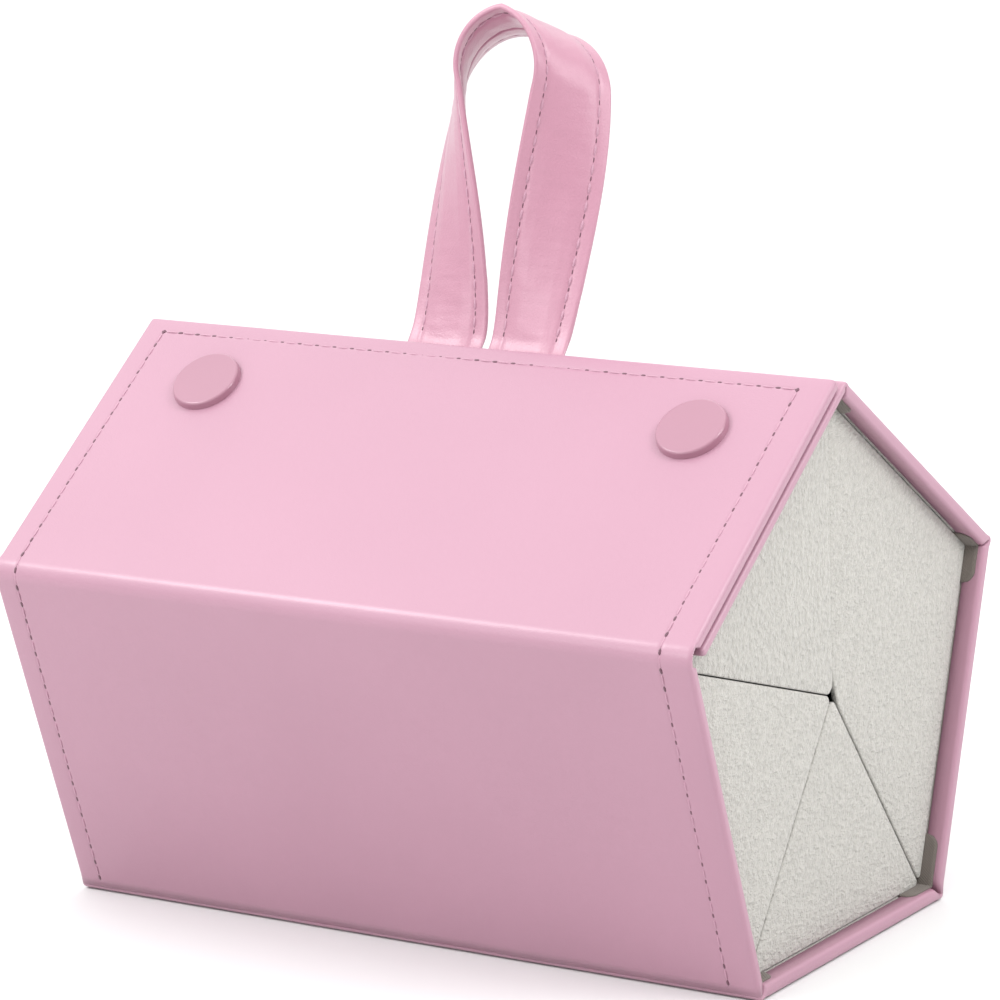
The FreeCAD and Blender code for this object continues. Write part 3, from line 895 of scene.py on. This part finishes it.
def tapes():
    """The four hinge lining tapes."""
    inner = PANEL - FOLD_R + 0.05 * MM
    centre = np.mean([FOLDS["front_bottom"], FOLDS["back_bottom"]], axis=0)
    centre = np.array([centre[0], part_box("bottom_end_right")[1][2]])
    up_back = unit(FOLDS["back"] - FOLDS["back_bottom"])
    up_front_low = unit(FOLDS["flap"] - FOLDS["front_bottom"])
    along_roof = unit(FOLDS["top"] - FOLDS["back"])
    flat = np.array([1.0, 0.0])
    length = 9 * MM

    def inside(name):
        here = FOLDS[name]
        return here + unit(centre - here) * inner / math.sin(math.radians(54))

    p = inside("back_bottom")
    lining_tape("tape_back_bottom", p - flat * length, p, p + up_back * length * 1.2,
                ["strip_back_bottom"], ("bottom", "back"))
    p = inside("front_bottom")
    lining_tape("tape_front_bottom", p + flat * 6 * MM, p, p + up_front_low * 6 * MM,
                ["strip_front_bottom"], ("bottom", "front"))
    p = inside("back")
    lining_tape("tape_back", p - up_back * 8 * MM, p, p + along_roof * 6 * MM, ["strip_back"], "back")
    p = inside("top")
    lining_tape("tape_top", p - along_roof * length * 0.8, p, p - UP_FRONT * 5 * MM, ["strip_top"], "back")


def velvet_work():
    """Ends, walls and linings."""
    for seed, (name, body) in enumerate((("bottom", "bottom"), ("front", "front"),
                                         ("top", "back"), ("back", "back"))):
        for hand in ("left", "right"):
            cloth = COARSE_VELVET if name == "top" else VELVET
            grow = {"back": 0.12, "top": 0.33, "front": 0.22}.get(name, 0.27) * MM
            piece = velvet_end(f"{name}_end_{hand}", cloth, 40 + seed, grow)
            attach(piece, body)
    walls = (("bottom_wall", "bottom"), ("front_wall", "front"), ("top_wall", "back"))
    for node, body in walls:
        soft_edged(node, VELVET, body, 0.4 * MM)
    linings = (("bottom_lining", "bottom"), ("front_lower_lining", "front"),
               ("back_lower_lining", "back"), ("back_upper_lining", "back"), ("front_upper_lining", "back"))
    for node, body in linings:
        soft_edged(node, VELVET, body, 0.18 * MM)
    soft_edged("flap_lining", LEATHER, "flap", 0.18 * MM)


def finish_cad():
    """Materials of the CAD nodes that stay."""
    finishes = {"snap_posts": METAL, "snap_sockets": METAL, "snap_studs": METAL, "snap_washers": METAL}
    for name, node in NODES.items():
        finish = finishes.get(name, BOARD if name.endswith("_board") else None)
        if finish is not None:
            node.data.materials.clear()
            node.data.materials.append(finish)


# ---------------------------------------------------------------- light and camera


AZIMUTH, ELEVATION, ROLL = 33.34, 13.43, -1.896
DISTANCE = 1.0094
LENS = 175.0
AIM = Vector((0, 0, 0.070))
SHIFT = (0.0046, 0.0709)
SKY = 2.0                 # brightness straight up, against 1 at the horizon
DARK_SIDE = 0.48          # brightness of the room to the right
FLOOR_Z = -0.2 * MM


def camera():
    """A long lens from the front right, slightly above, turned a little about its own axis."""
    a, e, r = (math.radians(v) for v in (AZIMUTH, ELEVATION, ROLL))
    back = Vector((math.sin(a) * math.cos(e), -math.cos(a) * math.cos(e), math.sin(e)))
    right = Vector((math.cos(a), math.sin(a), 0))
    up = back.cross(right)
    x = right * math.cos(r) + up * math.sin(r)
    y = up * math.cos(r) - right * math.sin(r)
    data = bpy.data.cameras.new("camera")
    data.lens = LENS
    data.shift_x, data.shift_y = SHIFT
    data.clip_start = 0.05
    cam = bpy.data.objects.new("camera", data)
    turn = Matrix((x, y, back)).transposed().to_4x4()
    cam.matrix_world = Matrix.Translation(AIM + back * DISTANCE) @ turn
    bpy.context.scene.collection.objects.link(cam)
    bpy.context.scene.camera = cam


def area_light(name, place, aim, size, power, color=(1, 1, 1)):
    data = bpy.data.lights.new(name, "AREA")
    data.shape = "RECTANGLE"
    data.size, data.size_y = size
    data.energy = power
    data.color = color
    light = bpy.data.objects.new(name, data)
    way = Vector(aim) - Vector(place)
    turn = way.to_track_quat("-Z", "Y").to_matrix().to_4x4()
    light.matrix_world = Matrix.Translation(Vector(place)) @ turn
    bpy.context.scene.collection.objects.link(light)


def studio():
    """A pale floor, a bright room that is dimmer to the right, and four soft lights."""
    points = [(x * 4.0, y * 4.0, FLOOR_Z) for x, y in ((-1, -1), (1, -1), (1, 1), (-1, 1))]
    mesh = bpy.data.meshes.new("floor")
    mesh.from_pydata(points, [], [(0, 1, 2, 3)])
    floor = bpy.data.objects.new("floor", mesh)
    bpy.context.scene.collection.objects.link(floor)
    shader = new_material("floor_white", Roughness=0.75, Specular_IOR_Level=0.2)
    shader.set("Base Color", shader.mix(shader.noise(3, 1.0), (0.68, 0.68, 0.68, 1), (0.70, 0.70, 0.70, 1)))
    mesh.materials.append(shader.owner)
    room = Shader(bpy.data.worlds.new("studio"), "Background", "Generated", {"Color": (1, 1, 1, 1)})

    def ramp(axis, start, end, low, high):
        along = room.node("ShaderNodeSeparateXYZ", {}, {0: room.place}, axis)
        inputs = {"Value": along, "From Min": start, "From Max": end, "To Min": low, "To Max": high}
        return room.node("ShaderNodeMapRange", {"interpolation_type": "SMOOTHSTEP"}, inputs, "Result")

    room.set("Strength", ramp("Z", 0.05, 0.9, 1.0, SKY) * ramp("X", 0.15, 0.85, 1.0, DARK_SIDE))
    bpy.context.scene.world = room.owner
    area_light("key", (-0.42, -0.36, 0.62), (0, 0, 0.08), (0.20, 0.20), 1.9)
    area_light("top_glint", (0.54, -0.06, 0.60), (0.04, 0, 0.12), (0.26, 0.26), 2.2)
    area_light("rim_light", (0.80, 0.30, 0.38), (0.08, 0, 0.06), (0.35, 0.35), 1.7)
    area_light("front_glint", (-0.20, -0.62, 0.30), (0, 0, 0.13), (0.14, 0.22), 0.60)


front_and_flap()
bottom_leather()
back_fold_leather()
back_wrap()
handle_strap()
snap_caps()
tapes()
velvet_work()
finish_cad()
camera()
studio()
bpy.context.scene.view_settings.view_transform = "Standard"
